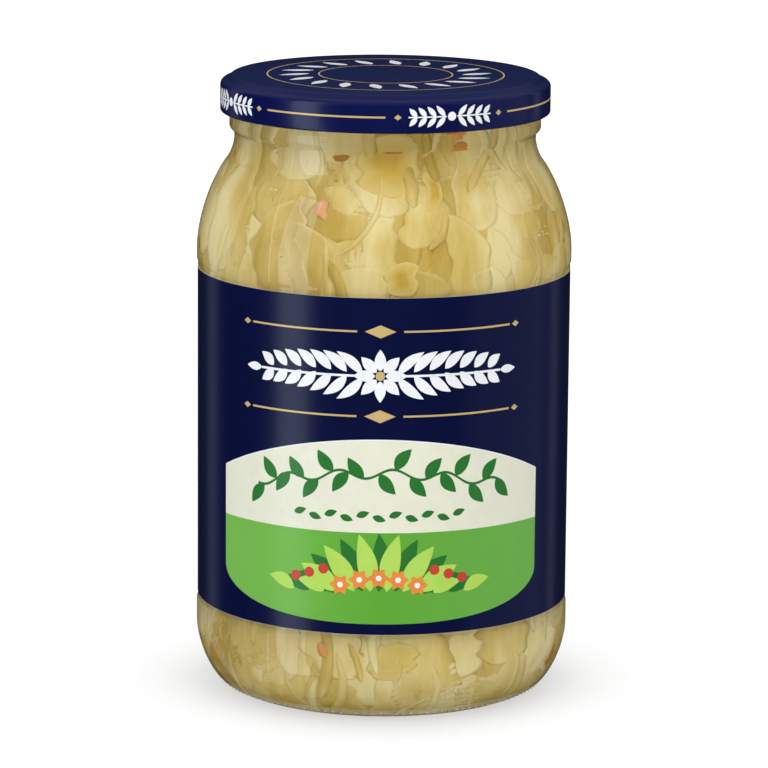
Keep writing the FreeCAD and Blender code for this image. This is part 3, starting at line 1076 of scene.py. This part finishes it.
# ---- the whole -----------------------------------------------------------------------------------
def main():
    rng = random.Random(11)
    glass = glass_material()
    edge = (0.82, 0.71, 0.42)
    leaves = cabbage_material("cabbage_leaf", (0.50, 0.35, 0.08), (0.67, 0.51, 0.175),
                              (0.79, 0.67, 0.34), edge)
    packed = cabbage_material("cabbage_packed", (0.40, 0.25, 0.045), (0.58, 0.41, 0.10),
                              (0.68, 0.52, 0.18), edge)
    wall = Wall()

    jar = make_glass(glass, glass_material("base_glass", (0.94, 0.95, 0.80), 0.82))
    make_foot_stipple(glass)
    core = make_core(packed, wall)
    for layer, levels in LEAF_LEVELS.items():
        broad = scatter(wall, rng, LEAF_COUNT, (15 * MM, 32 * MM), (9 * MM, 18 * MM),
                        levels, 0.26, tries=6)
        lay_pieces("cabbage_leaves_" + layer, wall, broad, leaves, rng, cells=(18, 9))
    soaked = []
    for height, degrees, length, width in AMBER_PIECES:
        soaked.append((wall.s_at_height(height * MM), math.radians(degrees), 0.0,
                       length * MM, width * MM, SOAKED_LEVEL, 0.5, 1.0))
    amber = cabbage_material("cabbage_soaked", (0.50, 0.31, 0.045), (0.59, 0.41, 0.08),
                             (0.65, 0.49, 0.15), (0.69, 0.54, 0.20), 0.3, 1.0)
    lay_pieces("cabbage_soaked", wall, soaked, amber, rng, ragged=0.2, cells=(16, 12),
               ripple=0.01 * MM)
    strips = scatter(wall, rng, SHRED_COUNT, (8 * MM, 24 * MM), (1.2 * MM, 3.5 * MM),
                     SHRED_LEVELS, 0.3)
    lay_pieces("cabbage_shreds", wall, strips, leaves, rng, ragged=0.35, cells=(14, 2))
    bits = []
    for piece in scatter(wall, rng, 40, (2 * MM, 5 * MM), (1 * MM, 2.2 * MM),
                         CARROT_LEVELS, 0.8, 0.3):
        if abs(piece[1]) > math.radians(78):
            bits.append(piece)
    for height, degrees, lean, length, width, shade in CARROT_BITS:
        bits.append((wall.s_at_height(height * MM), math.radians(degrees), math.radians(lean),
                     length * MM, width * MM, CARROT_LEVELS[1], shade, 0.5))
    lay_pieces("carrot_bits", wall, bits, carrot_material(), rng, cells=(6, 2))
    # The bubbles' pale colour is a painted sheen, standing in for the bright glint of gas against the
    # glass.
    make_bubbles(ink_material("bubble_painted_sheen", (0.80, 0.79, 0.68), 0.15), wall, rng)
    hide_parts("jar_glass")
    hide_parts("sauerkraut")

    lid = make_lid(lacquer_material("navy_lacquer", (0.0008, 0.0035, 0.062)),
                   ink_material("inside_lacquer", (0.7, 0.7, 0.68)))
    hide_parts("lid")

    ink = {
        "paper": ink_material("bare_paper", (0.55, 0.50, 0.42), 0.6),
        "navy": ink_material("navy_ink", (0.0012, 0.0034, 0.038), 0.24),
        "cream": ink_material("cream_ink", (0.745, 0.745, 0.595)),
        "green": green_material("green_ink", [
            (-0.046, (0.19, 0.49, 0.08)), (0.0, (0.105, 0.375, 0.028)), (0.04, (0.15, 0.43, 0.07))]),
        "deep_green": ink_material("deep_green_ink", (0.02, 0.17, 0.025)),
        "lime": ink_material("lime_ink", (0.42, 0.66, 0.10)),
        "white": ink_material("white_ink", (0.82, 0.83, 0.84)),
        "gold": ink_material("gold_ink", (0.66, 0.48, 0.19), 0.35, 0.2),
        "orange": ink_material("orange_ink", (0.78, 0.25, 0.04)),
        "red": ink_material("red_ink", (0.55, 0.05, 0.03)),
    }
    crest, join = make_label(ink)
    make_emblem(ink, crest)
    make_garland(ink, crest, join)
    make_bouquet(ink, join)
    make_back(ink)
    make_lid_print(ink)
    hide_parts("label")

    make_floor()
    make_studio()


main()
